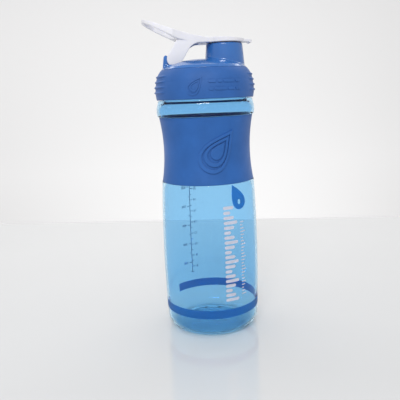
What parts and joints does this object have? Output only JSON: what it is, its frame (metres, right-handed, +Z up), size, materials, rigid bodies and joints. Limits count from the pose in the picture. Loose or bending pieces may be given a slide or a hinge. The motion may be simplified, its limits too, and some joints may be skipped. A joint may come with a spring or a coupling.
{
  "type": "protein shaker bottle",
  "caption": "Clear tinted shaker bottle with a rubber grip sleeve, screw lid, spout and a flip cap that also forms a finger loop.",
  "frame": {"origin": "centre of the bottle's foot, on the surface that it stands on", "axes": "+Z up along the bottle's axis, +X toward the spout, -X toward the hinge and the finger loop; the face with the printed column looks along -Y"},
  "size_m": [0.0953, 0.0862, 0.2726],
  "materials": {
    "clear_bottle": "clear blue-tinted plastic, polished, with fine handling scratches",
    "grip_rubber": "matte soft-touch rubber, royal blue",
    "blue_print": "screen-printed blue ink",
    "scale_print": "screen-printed dark blue ink",
    "white_print": "screen-printed white ink, a little worn",
    "seal_rubber": "translucent silicone",
    "lid_plastic": "satin moulded polypropylene, royal blue",
    "lid_rubber": "matte soft-touch rubber, royal blue",
    "grid_plastic": "moulded polypropylene, natural white",
    "cap_plastic": "satin moulded polypropylene, cool white",
    "stopper_plastic": "soft white plug"
  },
  "bodies": {
    "bottle": {"bottle_body": "clear_bottle", "grip_sleeve": "grip_rubber", "base_band": "blue_print", "volume_scale": "scale_print", "front_print": "white_print", "side_print": "white_print"},
    "seal": {"lid_seal": "seal_rubber"},
    "lid": {"lid_skirt": "lid_plastic", "lid_dome": "lid_plastic", "spout": "lid_plastic", "lid_grip_band": "lid_rubber", "mixing_grid": "grid_plastic"},
    "cap": {"flip_cap": "cap_plastic", "spout_stopper": "stopper_plastic"}
  },
  "joints": [
    {"name": "lid_lift", "type": "slide", "parent": "bottle", "child": "seal", "axis": [0, 0, 1], "range_m": [0, 0.024]},
    {"name": "lid_turn", "type": "hinge", "parent": "seal", "child": "lid", "pos_m": [0, 0, 0.215], "axis": [0, 0, 1], "range_deg": [0, 720]},
    {"name": "cap_hinge", "type": "hinge", "parent": "lid", "child": "cap", "pos_m": [-0.0256, 0, 0.2398], "axis": [0, -1, 0], "range_deg": [0, 95]}
  ],
  "couplings": [
    {"joint": "lid_lift", "follows": "lid_turn", "m_per_rad": 0.0019098}
  ]
}
